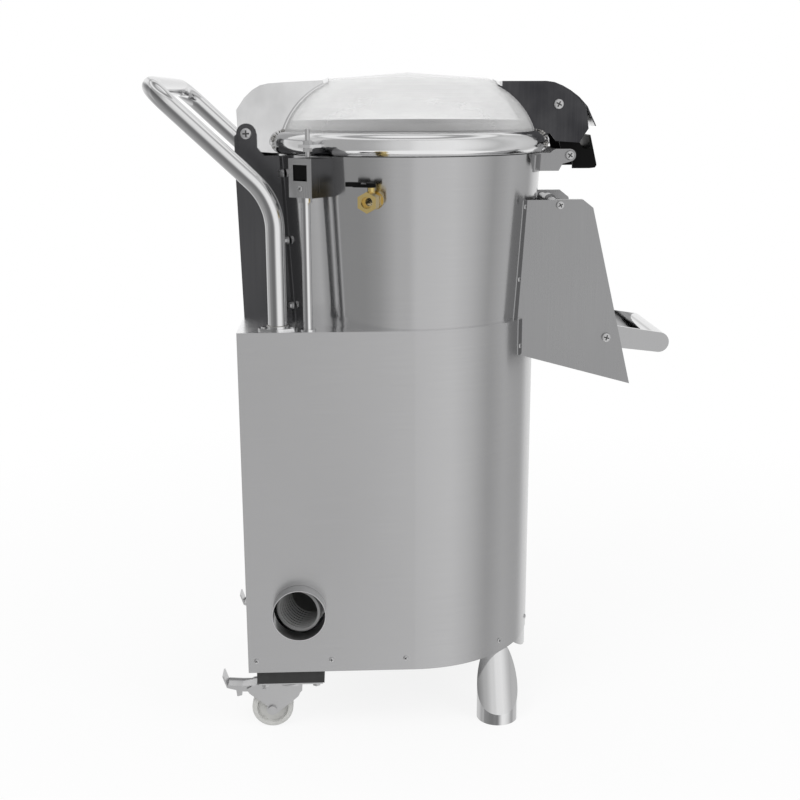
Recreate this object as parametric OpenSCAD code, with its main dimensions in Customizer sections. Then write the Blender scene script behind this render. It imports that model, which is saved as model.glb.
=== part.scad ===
// Electric potato peeler on two braked castors and two front legs.
// Millimetres, +Z up, floor at z = 0, the discharge chute faces -Y and the push handle +Y.
// Every height is measured from the floor and every plan position from the drum's axis.

/* [Overall stance] */
// Height of the casing's lower edge above the floor
casing_foot_z = 123.5; // [115:0.5:135]
// Height of the deck on top of the casing
deck_z = 743; // [725:1:765]
// Sheet thickness of the stainless panels
sheet = 1.5; // [1:0.1:2]

/* [Casing] */
// Half width of the casing and radius of its round front
casing_r = 230; // [229:0.5:232]
// Distance from the drum's axis to the rear wall
casing_rear = 298.7; // [290:0.5:310]
// Width of the flange folded inwards at the casing's foot
foot_fold = 12; // [8:1:16]
// Height of the screws along the casing's foot above its lower edge
foot_screw_rise = 22.5; // [18:0.5:30]
// Radius of a panel screw's head
screw_head_r = 4.5; // [3.5:0.1:5.5]
// Radius of a panel screw's shank
screw_shank_r = 2.5; // [2:0.1:3]

/* [Front legs] */
// Radius of a front leg's tube
leg_r = 37.7; // [34:0.1:40]
// Wall of a front leg's tube
leg_wall = 2; // [1.5:0.1:3]
// Sideways distance of a leg from the middle
leg_x = 179; // [170:1:185]
// Distance of the legs in front of the drum's axis
leg_y = 156; // [145:1:160]
// Height of the lowest point of a leg's oblique cut
leg_cut_z = 21; // [15:1:35]
// Angle of the oblique cut from the vertical
leg_cut_angle = 32; // [28:1:38]
// Radius of the leg cover's slight bulge
cover_bulge_r = 70; // [60:1:90]

/* [Castors] */
// Radius of a castor wheel
wheel_r = 37.5; // [34:0.5:38]
// Width of a castor wheel
wheel_w = 28; // [24:1:30]
// Sideways distance of a castor's swivel from the middle
swivel_x = 186; // [178:1:190]
// Distance of the swivels behind the drum's axis
swivel_y = 224; // [218:1:230]
// Distance of a wheel's axle behind its swivel
trail = 36; // [30:1:40]
// Thickness of the rubber pad over a castor
pad_h = 25; // [20:1:27]
// Radius of a castor's axle
axle_r = 4; // [3:0.1:5]
// Half length of a castor pad along Y
pad_half_l = 60.5; // [56:0.5:62]
// Half width of a castor pad along X
pad_half_w = 38; // [34:0.5:40]

/* [Drum] */
// Outer radius of the drum at and below the deck
drum_r = 223; // [221:0.5:224.5]
// Outer radius of the drum at its rim
rim_r = 238; // [236:0.5:239]
// Height of the drum's rim
rim_z = 1029.4; // [1020:0.1:1040]
// Height of the basin floor under the disc
basin_z = 645; // [635:1:655]
// Thickness of the grit lining on the drum wall
liner_t = 6; // [4:0.5:8]
// Height of the lining's top
liner_top_z = 935; // [920:1:940]
// Half width of the discharge opening in the drum
port_half_w = 84; // [76:1:85]
// Height of the discharge opening's sill
port_sill_z = 700; // [695:1:710]
// Height of the discharge opening's top
port_top_z = 905; // [880:1:920]

/* [Lid] */
// Radius of the lid ring's centre circle
ring_r = 233.5; // [232:0.1:235]
// Radius of the lid ring's tube
ring_tube_r = 19; // [17:0.1:20]
// Radius of the dome's shoulder arc
shoulder_r = 134; // [128:1:138]
// Height of the dome's crown above the end of its shoulder
crown_rise = 10.6; // [6:0.1:14]
// Thickness of the dome
dome_t = 4; // [3:0.5:5]
// Distance of the lid's hinge behind the drum's axis
hinge_y = 284; // [280:0.5:288]
// Height of the lid's hinge
hinge_z = 1064; // [1060:0.5:1068]
// Radius of the lid's hinge pin
hinge_pin_r = 6; // [5:0.1:7]
// Half width of the rear hood
rear_hood_half = 70; // [66:0.5:71]
// Half width of the front hood
front_hood_half = 72.5; // [70:0.5:75]
// Sheet thickness of the hoods
hood_t = 2; // [1.5:0.1:2.5]

/* [Latch] */
// Distance of the latch's pivot in front of the drum's axis
latch_y = 259; // [257:0.5:261]
// Height of the latch's pivot
latch_z = 1112; // [1110:0.5:1114]
// Radius of the latch's pivot pin
latch_pin_r = 5; // [4:0.1:5.5]
// Distance of the catch pin in front of the drum's axis
catch_y = 283; // [281:0.5:285]
// Height of the catch pin
catch_z = 1024; // [1022:0.5:1026]
// Radius of the catch pin
catch_pin_r = 5; // [4:0.1:5.5]

/* [Hinge tower] */
// Half width over the tower's side plates
tower_half = 75; // [74:0.5:80]
// Distance of the tower's rear edge behind the drum's axis at the deck
tower_rear = 298; // [292:0.5:298.5]
// Sheet thickness of the tower
tower_t = 2; // [1.5:0.1:2]
// Width of the tower's flanges on the drum
tower_flange_w = 16; // [12:1:22]

/* [Push handle] */
// Radius of the handle's tube
handle_tube_r = 16; // [13:0.1:17]
// Wall of the handle's tube
handle_wall = 1.5; // [1:0.1:3]
// Half distance between the handle's two legs
handle_half = 205; // [198:1:206]
// Distance of the handle's feet behind the drum's axis
handle_foot_y = 231; // [226:1:236]
// Height of the corner between the upright and the sloping stretch
handle_bend_z = 959; // [940:1:980]
// Distance of the cross tube behind the drum's axis
handle_end_y = 427; // [420:1:434]
// Height of the cross tube
handle_end_z = 1143; // [1130:1:1160]
// Radius of the bend above the uprights
handle_bend_r = 110; // [90:1:130]
// Radius of the corners into the cross tube
handle_corner_r = 42; // [30:1:60]

/* [Chute] */
// Half width over the chute's side plates
chute_half = 123; // [119:0.5:126]
// Distance of the chute's lower tip in front of the drum's axis
chute_tip_y = 392; // [385:1:400]
// Height of the chute's lower tip
chute_tip_z = 623; // [615:1:630]
// Height of the chute's top edge
chute_top_z = 951; // [948:1:958]
// Distance of the door's hinge in front of the drum's axis
door_y = 258; // [256:0.5:260]
// Height of the door's hinge
door_z = 942; // [940:0.5:943]
// Radius of the door's hinge pin
door_pin_r = 4; // [3:0.1:4.5]
// Half width of the door over its cheeks
door_half = 90; // [84:0.5:92]
// Distance of the lock lever's pivot in front of the drum's axis
lever_y = 347; // [345:0.5:349]
// Height of the lock lever's pivot
lever_z = 708; // [706:0.5:710]
// Distance from the lock lever's pivot to the end of its grip
lever_reach = 102; // [98:0.5:106]
// Radius of the lock lever's grip
grip_r = 18; // [15:0.5:18]
// Half width over the lock lever's arms
lever_half = 103; // [100:0.5:106]

/* [Water] */
// Height of the inlet valve
valve_z = 961; // [955:1:967]
// Angle of the inlet valve round the drum from the left side
valve_turn = 16; // [12:1:20]
// Radius of the inlet's threaded hole
inlet_r = 9.5; // [8:0.1:10.5]
// Depth of the inlet's threaded hole
inlet_depth = 16; // [12:1:18]
// Distance of the drain outlet behind the drum's axis
drain_y = 205; // [200:1:210]
// Height of the drain outlet
drain_z = 243; // [238:1:250]
// Outer radius of the drain stub
drain_r = 47; // [45:0.5:48]
// Length of the drain stub outside the casing
drain_out = 26; // [18:1:30]
// Outer radius of the drain hose
hose_r = 40; // [36:0.5:40.5]
// Spacing of the drain hose's ribs
hose_pitch = 9; // [8:0.5:12]

/* [Lid switch] */
// Angle of the switch box round the drum from the left side
switch_turn = 40; // [36:1:44]
// Width of the switch box
switch_w = 50; // [44:1:56]
// Depth of the switch box
switch_d = 53; // [46:1:56]
// Height of the switch box
switch_h = 63; // [58:1:66]
// Height of the switch box's top
switch_top_z = 1028; // [1022:1:1030]
// Radius of the conduit post
post_r = 8; // [6:0.5:9]

/* [Drive] */
// Radius of the peeling disc
disc_r = 207; // [200:0.5:209]
// Height of the disc's upper face at its rim
disc_z = 700; // [696:1:704]
// Number of raised waves on the disc
disc_waves = 3; // [2:1:4]
// Radius of the disc shaft
shaft_r = 12.5; // [10:0.5:14]
// Radius of the driven pulley
driven_r = 110; // [95:1:115]
// Radius of the motor pulley
motor_pulley_r = 32; // [26:1:36]
// Height of the belt's middle
belt_z = 525; // [520:1:530]
// Sideways distance of the motor from the drum's axis
motor_x = 60; // [55:1:70]
// Distance of the motor behind the drum's axis
motor_y = 190; // [185:1:195]
// Radius of the motor's frame
motor_r = 68; // [60:1:70]
// Length of the motor's frame
motor_l = 200; // [180:1:220]
// Thickness of the drive plate
drive_plate_t = 6; // [4:0.5:8]

/* [Controls] */
// Distance of the buttons behind the drum's axis
button_y = 190; // [150:1:230]
// Height of the start button
start_z = 640; // [600:1:680]
// Distance of the stop button below the start button
button_gap = 44; // [40:1:60]
// Radius of a push button
button_r = 11; // [9:0.5:13]
// Travel of a push button
button_travel = 4; // [3:0.5:5]
// Radius of the hole through the cable gland
gland_bore_r = 5; // [4:0.1:6]
// Length of the cable gland's hole
gland_l = 32; // [28:1:36]

/* [Fits] */
// Radial clearance of a turning shaft or pin in its hole
run_fit = 0.05; // [0.02:0.01:0.1]
// Gap between curved faces that move past each other
gap = 0.3; // [0.25:0.05:0.5]

/* [Hidden] */
$fn = 96;

// The drum's axis within the part's own frame, whose origin lies under the middle of the whole machine
valve_reach = 55;
spindle_at = 26.5;
spindle_top = 22;
left_edge = (rim_r + valve_reach) * cos(valve_turn);
axis_x = (left_edge - ring_r - ring_tube_r) / 2;
axis_y = (lever_y + lever_reach + grip_r - handle_end_y - handle_tube_r) / 2;

steel = "gainsboro";
dark_steel = "silver";
black = [0.1, 0.1, 0.1];
far = 1000;

// Casing: its screws, holes and the toe under its front
foot_screw_z = casing_foot_z + foot_screw_rise;
foot_screw_ys = [17, 150, 284];
foot_screw_turns = [43.8, 75];
rear_screw = [205, 236];
gland_x = 60;
gland_z = 200;
button_x = casing_r;
pan_t = 2;
pan_hole = [[-150, -110], [150, 150]];
toe_y = 191;
toe_slope = 1.2;

// Legs and castors
cover_t = 2;
leg_sole = 3;
castor_top = casing_foot_z - pad_h;
plate_t = 3.5;
cup_h = 5;
castor_bolt_r = 4;
castor_bolt_at = [28, 46];
fork_top = castor_top - plate_t - cup_h;
fork_half = wheel_w / 2 + 3;
fork_t = 2.5;
pedal_pivot = [50, fork_top - 12];
pedal_pin_r = 3;

// Drum, basin and drain
drum_wall = 1.5;
drum_slope = (rim_r - drum_r) / (rim_z - deck_z);
basin_t = 3;
neck_r = 30;
spigot_r = hose_r - 4.8;
spigot_wall = 1.5;
outlet = [-80, 165];
stub_wall = 1.2;
stub_neck = 0.8;
stub_shoulder = 0.5;
hose_rib = 2.5;
hose_wall = 2;
hose_bend_r = 85;
hose_end = [-casing_r - 8, drain_y + 2];
hose_z = drain_z + 3;
hose_run = hose_end - outlet;
hose_way = hose_run / norm(hose_run);
hose_top = basin_z - 12;

// Drive
housing_bore = 26;
housing_z = belt_z + 15;
bearing_w = 14;
plate_top = belt_z - 35;
post_places = [[-118, -80], [118, -80], [150, 130], [-20, 195]];
post_thread_r = 4;
motor_shaft_r = 12;
belt_depth = 7.5;
disc_hub_r = 25;
disc_under = disc_z - 10;
stud_r = 8;

// Lid, hoods, latch and the lid's switch
ring_z = rim_z + ring_tube_r + 0.4;
ring_top = ring_z + ring_tube_r;
ring_wall = 1.5;
dome_arc = [ring_r - 129.5, ring_z - 21.2];
saddle_w = 9;
ear_r = 16;
bolt_turn = acos((tower_half + tower_flange_w / 2) / drum_r);
tower_bolt_zs = [765, 881, 997];
catch_half = 60;
catch_t = 2.5;
latch_half = 58;
switch_mid = drum_r + (switch_top_z - deck_z) * drum_slope + 33;
actuator_r = 4;

// Push handle
foot_t = 4;
foot_collar = 2.5;
foot_screw_gap = handle_tube_r + foot_collar + screw_head_r + 3 * gap;
handle_lean = atan2(handle_end_y - handle_foot_y, handle_end_z - handle_bend_z);
handle_cut = handle_bend_r * tan(handle_lean / 2);
handle_way = [0, sin(handle_lean), cos(handle_lean)];
bend_swell = 0.05;
bend_lap = 0.5;

// Chute, its door and the lock lever, whose noses stand just outside the reach of the door's cheeks
chute_flange = 12;
flange_mid = chute_half + chute_flange / 2;
flange_foot_z = 680;
flange_screw_zs = [940, 814];
lever_pin_r = 5;
cheek_reach = 244.5;
door_face_r = casing_r + 4;

// Outer radius of the drum at the height z
function drum_at(z) = drum_r + max(0, z - deck_z) * drum_slope;

// Distance from the middle plane to the drum's face at the height z and the sideways distance x
function drum_y(z, x) = sqrt(pow(drum_at(z), 2) - x * x);

// Moves the drum's axis to its place in the part's frame
module place() {
    translate([axis_x, axis_y, 0]) children();
}

// The piece and its mirror image on the other side
module both_sides() {
    children();
    mirror([1, 0, 0]) children();
}

// A plate with a profile drawn in Y and Z, from x0 to x1
module side_plate(x0, x1) {
    translate([x0, 0, 0]) rotate([90, 0, 90]) linear_extrude(x1 - x0) children();
}

// A cylinder along X from x0 to x1 about the point [y, z]
module x_rod(x0, x1, p, r) {
    translate([x0, p[0], p[1]]) rotate([0, 90, 0]) cylinder(h = x1 - x0, r = r);
}

// Flat outline around two circles and their common tangents
module link(p, r, q, s) {
    d = q - p;
    l = norm(d);
    turn = atan2(d[1], d[0]);
    lean = acos((r - s) / l);
    translate(p) circle(r);
    translate(q) circle(s);
    polygon([
        p + r * [cos(turn + lean), sin(turn + lean)],
        p + r * [cos(turn - lean), sin(turn - lean)],
        q + s * [cos(turn - lean), sin(turn - lean)],
        q + s * [cos(turn + lean), sin(turn + lean)]
    ]);
}

// D-shaped outline of the casing, set in by the distance d
module casing_outline(d) {
    r = casing_r - d;
    circle(r);
    translate([-r, 0]) square([2 * r, casing_rear - d]);
}

// Solid within the drum's face, set out by the distance d
module drum_solid(d) {
    rotate_extrude() polygon([
        [0, deck_z - 60],
        [drum_r + d, deck_z - 60],
        [drum_r + d, deck_z],
        [rim_r + d, rim_z],
        [0, rim_z]
    ]);
}

// Strip of sheet that lies on the drum's face
module drum_strip(t) {
    difference() {
        drum_solid(t);
        drum_solid(0);
    }
}

// Solid within the dome, set out by the distance d
module dome_solid(d) {
    first = asin((ring_top - dome_arc[1]) / shoulder_r);
    arc = [for (a = [0 : 1 : 12])
        let (turn = first + (74 - first) * a / 12)
        dome_arc + (shoulder_r + d) * [cos(turn), sin(turn)]];
    foot = arc[0];
    crown = arc[12];
    rotate_extrude() polygon(concat(
        [[0, foot[1] - 40], [foot[0], foot[1] - 40]],
        arc,
        [[0, crown[1] + crown_rise]]
    ));
}

// The lid ring's tube, grown by the distance d
module ring_solid(d) {
    translate([0, 0, ring_z]) rotate_extrude() translate([ring_r, 0]) circle(ring_tube_r + d);
}

// Frame at the point p with its X and Y axes along the unit vectors x and y
module frame_at(p, x, y) {
    z = cross(x, y);
    multmatrix([
        [x[0], y[0], z[0], p[0]],
        [x[1], y[1], z[1], p[1]],
        [x[2], y[2], z[2], p[2]]
    ]) children();
}

// Frame whose Z points out of the drum at the height z, turned from the left side towards the rear
module on_drum(turn, z, d) {
    rotate([0, 0, 180 - turn]) translate([drum_at(z) + d, 0, z]) rotate([0, 90, 0]) children();
}

// Outline with each corner moved inwards by d; the points run anticlockwise
function inset(pts, d) = [for (i = [0 : len(pts) - 1])
    let (
        n = len(pts),
        a = pts[i] - pts[(i + n - 1) % n],
        b = pts[(i + 1) % n] - pts[i],
        na = [-a[1], a[0]] / norm(a),
        nb = [-b[1], b[0]] / norm(b)
    )
    pts[i] + d * (na + nb) / (1 + na * nb)];

// Ring of the radii r0 and r1 about Z
module ring(r0, r1, z0, z1) {
    translate([0, 0, z0]) linear_extrude(z1 - z0) difference() {
        circle(r1);
        circle(r0);
    }
}

// Round head and shank of a panel screw that points along -Z, its head on z = 0
module panel_screw(l) {
    head_h = screw_head_r / 2;
    c = (screw_head_r * screw_head_r - head_h * head_h) / (2 * head_h);
    intersection() {
        translate([0, 0, -c]) sphere(c + head_h);
        cylinder(h = 2 * head_h, r = screw_head_r);
    }
    translate([0, 0, -l]) cylinder(h = l, r = screw_shank_r);
}

// Hexagon head or nut, seated on z = 0
module hex_head(across, h) {
    cylinder(h = h, r = across / 2 / cos(30), $fn = 6);
}

// The screws along the casing's foot and on its rear wall, each drawn pointing into the casing
module casing_screw_places() {
    both_sides() {
        for (y = foot_screw_ys) translate([-casing_r, y, foot_screw_z]) rotate([0, -90, 0]) children();
        for (turn = foot_screw_turns) rotate([0, 0, 180 + turn])
            translate([casing_r, 0, foot_screw_z]) rotate([0, 90, 0]) children();
        translate([rear_screw[0], casing_rear, rear_screw[1]]) rotate([-90, 0, 0]) children();
    }
}

// The four screws that hold the push handle's feet on the deck
module handle_screw_places() {
    both_sides() for (dy = [-foot_screw_gap, foot_screw_gap])
        translate([handle_half, handle_foot_y + dy, deck_z + foot_t]) children();
}

// The screws in the chute's flanges on the drum and the casing
module chute_screw_places() {
    both_sides() {
        for (z = flange_screw_zs) on_drum(-acos(flange_mid / drum_at(z)), z, sheet) children();
        rotate([0, 0, 180 + acos(flange_mid / casing_r)])
            translate([casing_r + sheet, 0, flange_foot_z + 16]) rotate([0, 90, 0]) children();
    }
}

module casing() color(steel) place() difference() {
    translate([0, 0, casing_foot_z]) linear_extrude(deck_z - casing_foot_z) casing_outline(0);
    translate([0, 0, casing_foot_z - 1])
        linear_extrude(deck_z - sheet - casing_foot_z + 1) casing_outline(sheet);
    translate([0, 0, deck_z - 2 * sheet]) cylinder(h = 4 * sheet, r = drum_r);
    x_rod(-far, 0, [drain_y, drain_z], drain_r - stub_neck);
    translate([-port_half_w, -far, port_sill_z]) cube([2 * port_half_w, far, far]);
    for (z = [start_z, start_z - button_gap]) x_rod(0, far, [button_y, z], button_r + 3);
    translate([gland_x, 0, gland_z]) rotate([-90, 0, 0]) cylinder(h = far, r = gland_bore_r + 4);
    casing_screw_places() translate([0, 0, -far / 10]) cylinder(h = far / 5, r = screw_shank_r);
    handle_screw_places() translate([0, 0, -far / 50]) cylinder(h = far / 5, r = screw_shank_r);
    chute_screw_places() translate([0, 0, -far / 50]) cylinder(h = far / 10, r = screw_shank_r);
}

module base_pan() color(steel) place() {
    difference() {
        translate([0, 0, casing_foot_z]) linear_extrude(foot_screw_rise + 14) casing_outline(sheet);
        translate([0, 0, casing_foot_z + pan_t]) linear_extrude(far) casing_outline(sheet + pan_t);
        translate(concat(pan_hole[0], 0)) cube(concat(pan_hole[1] - pan_hole[0], far));
        casing_screw_places() translate([0, 0, -far / 10]) cylinder(h = far / 5, r = screw_shank_r);
    }
    intersection() {
        translate([0, 0, casing_foot_z - 60]) linear_extrude(60) difference() {
            casing_outline(sheet);
            casing_outline(sheet + pan_t);
        }
        side_plate(-casing_r, casing_r) polygon([
            [-toe_y, casing_foot_z],
            [-casing_r, casing_foot_z],
            [-casing_r, casing_foot_z - toe_slope * (casing_r - toe_y)]
        ]);
    }
}

module panel_screws() color(steel) place() {
    casing_screw_places() panel_screw(7);
    handle_screw_places() panel_screw(9);
    chute_screw_places() translate([0, 0, 0.3]) panel_screw(2);
}

// Frame on a right leg's oblique cut, its X pointing out of the cut and its Z up the slope
module leg_cut() {
    translate([leg_x + leg_r, -leg_y, leg_cut_z]) rotate([0, -leg_cut_angle, 0]) children();
}

// A right leg's tube, closed at the floor and open along its cut
module leg_tube() {
    difference() {
        translate([leg_x, -leg_y, 0]) cylinder(h = casing_foot_z, r = leg_r);
        translate([leg_x, -leg_y, leg_sole]) cylinder(h = casing_foot_z, r = leg_r - leg_wall);
        leg_cut() difference() {
            translate([-cover_bulge_r, -far / 2, -far / 2]) cube(far);
            translate([-cover_bulge_r, 0, -far / 2]) cylinder(h = far, r = cover_bulge_r - cover_t);
        }
    }
}

module leg_left() color(steel) place() mirror([1, 0, 0]) leg_tube();

module leg_right() color(steel) place() leg_tube();

module leg_covers() color(steel) place() both_sides() intersection() {
    translate([leg_x, -leg_y, 0]) cylinder(h = casing_foot_z, r = leg_r);
    leg_cut() intersection() {
        translate([-cover_bulge_r, 0, -far / 2]) difference() {
            cylinder(h = far, r = cover_bulge_r);
            cylinder(h = far, r = cover_bulge_r - cover_t);
        }
        translate([-cover_bulge_r, -far / 2, -far / 2]) cube(far);
    }
}

// A castor's frame: on the floor under its swivel, side being -1 on the left and 1 on the right
module castor(side) {
    place() translate([side * swivel_x, swivel_y, 0]) children();
}

// The four bolts of a castor's plate
module castor_bolt_places() {
    for (x = [-1, 1], y = [-1, 1])
        translate([x * castor_bolt_at[0], y * castor_bolt_at[1], castor_top - plate_t]) children();
}

module castor_pads() color(black) for (side = [-1, 1]) castor(side) difference() {
    translate([-pad_half_w, -pad_half_l, castor_top]) cube([2 * pad_half_w, 2 * pad_half_l, pad_h]);
    castor_bolt_places() cylinder(h = pad_h + 10, r = castor_bolt_r);
}

module castor_plates() color(steel) for (side = [-1, 1]) castor(side) {
    difference() {
        translate([2 - pad_half_w, 3 - pad_half_l, castor_top - plate_t])
            cube([2 * pad_half_w - 4, 2 * pad_half_l - 6, plate_t]);
        castor_bolt_places() translate([0, 0, -1]) cylinder(h = plate_t + 2, r = castor_bolt_r);
    }
    translate([0, 0, fork_top + gap]) cylinder(h = cup_h - gap, r1 = 21, r2 = 25);
}

module castor_bolts() color(steel) for (side = [-1, 1]) castor(side) castor_bolt_places() {
    translate([0, 0, -5]) hex_head(13, 5);
    cylinder(h = plate_t + pad_h, r = castor_bolt_r);
}

// Swivel fork with its axle, the wheel trailing towards +Y
module castor_fork() {
    crown_t = 3;
    outer = fork_half + fork_t;
    translate([0, 0, fork_top - crown_t]) cylinder(h = crown_t, r = 28);
    for (x = [-outer, fork_half]) side_plate(x, x + fork_t) difference() {
        union() {
            link([2, fork_top - 17], 17, [trail, wheel_r], 11);
            polygon([[-20, fork_top], [-19, fork_top - 16], [0, fork_top - 36], [trail, wheel_r],
                [trail + 10, wheel_r + 8], pedal_pivot + [27, -8], pedal_pivot + [32, 1],
                [pedal_pivot[0] + 20, fork_top - 5], [22, fork_top]]);
        }
        translate([trail, wheel_r]) circle(axle_r);
        translate(pedal_pivot) circle(pedal_pin_r);
    }
    translate([-outer, -19, fork_top - crown_t]) cube([2 * outer, 38, crown_t]);
    x_rod(-outer - 4, outer + 4, [trail, wheel_r], axle_r);
    for (x = [-outer - 4, outer]) x_rod(x, x + 4, [trail, wheel_r], 2 * axle_r);
    x_rod(-outer - 2, outer + 2, pedal_pivot, pedal_pin_r);
}

module castor_fork_left() color(dark_steel) castor(-1) castor_fork();

module castor_fork_right() color(dark_steel) castor(1) castor_fork();

// Wheel with rounded tread, recessed faces and a plain hub
module castor_wheel() {
    h = wheel_w / 2;
    edge = 5;
    recess = 6;
    tread = [for (a = [0 : 15 : 90]) [wheel_r - edge + edge * sin(a), h - edge + edge * cos(a)]];
    face = [[axle_r + run_fit, h - 1], [12, h - 1], [13, h - recess], [wheel_r - 11, h - recess],
        [wheel_r - 9, h]];
    half = concat(face, tread);
    back = [for (i = [len(half) - 1 : -1 : 0]) [half[i][0], -half[i][1]]];
    translate([0, trail, wheel_r]) rotate([0, 90, 0]) rotate_extrude() polygon(concat(half, back));
}

module castor_wheel_left() color("whitesmoke") castor(-1) castor_wheel();

module castor_wheel_right() color("whitesmoke") castor(1) castor_wheel();

// Brake pedal between the fork's plates, with its shoe above the tread
module brake_pedal() {
    half = fork_half - 1;
    p = pedal_pivot;
    difference() {
        union() {
            for (x = [-half, half - 2]) side_plate(x, x + 2) {
                translate(p) circle(6);
                polygon([p + [-5, 0], p + [5, -6], p + [40, -5], p + [66, 2], p + [66, 8], p + [40, 6],
                    p + [0, 6]]);
            }
            side_plate(-half, half) polygon([p + [14, 6], p + [40, 3.5], p + [66, 5.5], p + [73, 26],
                p + [75.5, 25], p + [68, 2.8], p + [40, 1], p + [14, 3.5]]);
        }
        x_rod(-far / 10, far / 10, p, pedal_pin_r + run_fit);
    }
    side_plate(3 - half, half - 3) polygon([p + [41, 1], p + [41, -14], p + [50, -16], p + [52, 1.5]]);
}

module brake_pedal_left() color(dark_steel) castor(-1) brake_pedal();

module brake_pedal_right() color(dark_steel) castor(1) brake_pedal();

// The discharge port's opening through the drum's wall
module port_cut() {
    translate([-port_half_w, -far, port_sill_z]) cube([2 * port_half_w, far, port_top_z - port_sill_z]);
}

module drum() color(steel) place() difference() {
    union() {
        rotate_extrude() polygon([
            [drum_r - drum_wall, basin_z - basin_t],
            [drum_r, basin_z - basin_t],
            [drum_r, deck_z],
            [rim_r, rim_z],
            [rim_r - drum_wall, rim_z],
            [drum_r - drum_wall, deck_z]
        ]);
        ring(drum_r - drum_wall / 2, drum_r + 5, deck_z - sheet - 3, deck_z - sheet);
    }
    port_cut();
    chute_screw_places() translate([0, 0, -far / 50]) cylinder(h = far / 10, r = screw_shank_r);
    on_drum(valve_turn, valve_z, -20) cylinder(h = 40, r = inlet_r);
}

module drum_liner() color("dimgray") place() difference() {
    back = drum_wall + gap;
    rotate_extrude() polygon([
        [drum_r - back - liner_t, disc_z - 20],
        [drum_r - back, disc_z - 20],
        [drum_r - back, deck_z],
        [drum_at(liner_top_z) - back, liner_top_z],
        [drum_at(liner_top_z) - back - 2, liner_top_z],
        [drum_r - back - liner_t, deck_z]
    ]);
    port_cut();
}

module basin() color(steel) place() {
    difference() {
        translate([0, 0, basin_z - basin_t]) cylinder(h = basin_t, r = drum_r - drum_wall);
        translate([0, 0, basin_z - 4]) cylinder(h = 5, r = neck_r);
        translate([outlet[0], outlet[1], basin_z - 4]) cylinder(h = 5, r = spigot_r - spigot_wall);
    }
    ring(neck_r, neck_r + 2, basin_z, basin_z + 20);
    translate(outlet) ring(spigot_r - spigot_wall, spigot_r, basin_z - 43, basin_z - basin_t);
}

module drain_stub() color(steel) place() difference() {
    shoulder = -casing_r - stub_shoulder;
    union() {
        x_rod(-casing_r - drain_out, shoulder, [drain_y, drain_z], drain_r);
        x_rod(shoulder, 8 - casing_r, [drain_y, drain_z], drain_r - stub_neck);
    }
    x_rod(-far, 0, [drain_y, drain_z], drain_r - stub_wall);
}

// Straight ribbed hose along Z
module ribbed_hose(l) {
    n = max(1, round(l / hose_pitch));
    p = l / n;
    wave = [[0, -hose_rib], [0.25, -hose_rib], [0.4, 0], [0.85, 0]];
    rows = [for (i = [0 : n - 1], w = wave) [hose_r + w[1], (i + w[0]) * p]];
    side = concat(rows, [[hose_r - hose_rib, l]]);
    inner = [for (i = [len(side) - 1 : -1 : 0]) [side[i][0] - hose_wall, side[i][1]]];
    rotate_extrude() polygon(concat(side, inner));
}

// Frame at the drain hose's elbow, its X towards the outlet and its Y straight up
module hose_turn() {
    d = [hose_way[0], hose_way[1], 0];
    frame_at([outlet[0], outlet[1], hose_z + hose_bend_r] + hose_bend_r * d, -d, [0, 0, -1]) children();
}

module drain_hose() color("gray") place() {
    drop = hose_top - hose_z - hose_bend_r;
    hose_turn() {
        rotate_extrude(angle = 90) translate([hose_bend_r, 0]) difference() {
            circle(hose_r - hose_rib);
            circle(hose_r - hose_rib - hose_wall);
        }
        translate([hose_bend_r, 0, 0]) rotate([90, 0, 0]) ribbed_hose(drop);
        translate([0, hose_bend_r, 0]) rotate([0, -90, 0]) ribbed_hose(norm(hose_run) - hose_bend_r);
    }
}

module hose_clamps() color(dark_steel) place() {
    translate([outlet[0], outlet[1], hose_top - 14]) {
        ring(hose_r, hose_r + 1.2, 0, 11);
        translate([hose_r + 0.8, -4, 1]) cube([9, 8, 9]);
    }
}

module bearing_housing() color("slategray") place() rotate_extrude() polygon([
    [housing_bore, housing_z],
    [housing_bore + 12, housing_z],
    [housing_bore + 12, basin_z - 20],
    [housing_bore + 50, basin_z - 13],
    [housing_bore + 50, basin_z - basin_t],
    [housing_bore, basin_z - basin_t]
]);

module bearings() color(dark_steel) place()
    for (z = [housing_z + 2, basin_z - 36]) ring(shaft_r + run_fit, housing_bore, z, z + bearing_w);

module shaft_seal() color(black) place()
    ring(shaft_r + run_fit, housing_bore, basin_z - 13, basin_z - 4);

module drive_plate() color(steel) place() difference() {
    translate([0, 0, plate_top - drive_plate_t]) linear_extrude(drive_plate_t)
        polygon([[-140, -105], [140, -105], [178, 110], [178, 160], [motor_x + 75, motor_y + 78],
            [-34, motor_y + 78], [-34, 95], [-140, 10]]);
    translate([motor_x, motor_y, 0]) cylinder(h = far, r = 24);
    for (p = post_places) translate(p) cylinder(h = far, r = post_thread_r);
    cylinder(h = far, r = 30);
}

module plate_posts() color(dark_steel) place() for (p = post_places) translate(p) {
    translate([0, 0, plate_top]) cylinder(h = basin_z - basin_t - plate_top, r = 8);
    translate([0, 0, plate_top - drive_plate_t - 12]) cylinder(h = drive_plate_t + 12, r = post_thread_r);
    translate([0, 0, plate_top - drive_plate_t - 7]) hex_head(13, 7);
}

module motor() color("steelblue") place() translate([motor_x, motor_y, plate_top - drive_plate_t]) {
    difference() {
        union() {
            translate([0, 0, -10]) cylinder(h = 10, r = motor_r);
            translate([0, 0, -10 - motor_l]) cylinder(h = motor_l, r = motor_r - 8);
            for (i = [0 : 23]) rotate(i * 15) translate([motor_r - 10, -1.25, -motor_l + 20])
                cube([10, 2.5, motor_l - 40]);
            translate([0, 0, -motor_l - 35]) cylinder(h = 45, r = motor_r - 3);
            translate([motor_r - 14, -40, -motor_l * 0.6]) cube([42, 80, 80]);
        }
        translate([0, 0, -motor_l]) cylinder(h = far, r = motor_shaft_r + 1);
    }
}

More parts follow.
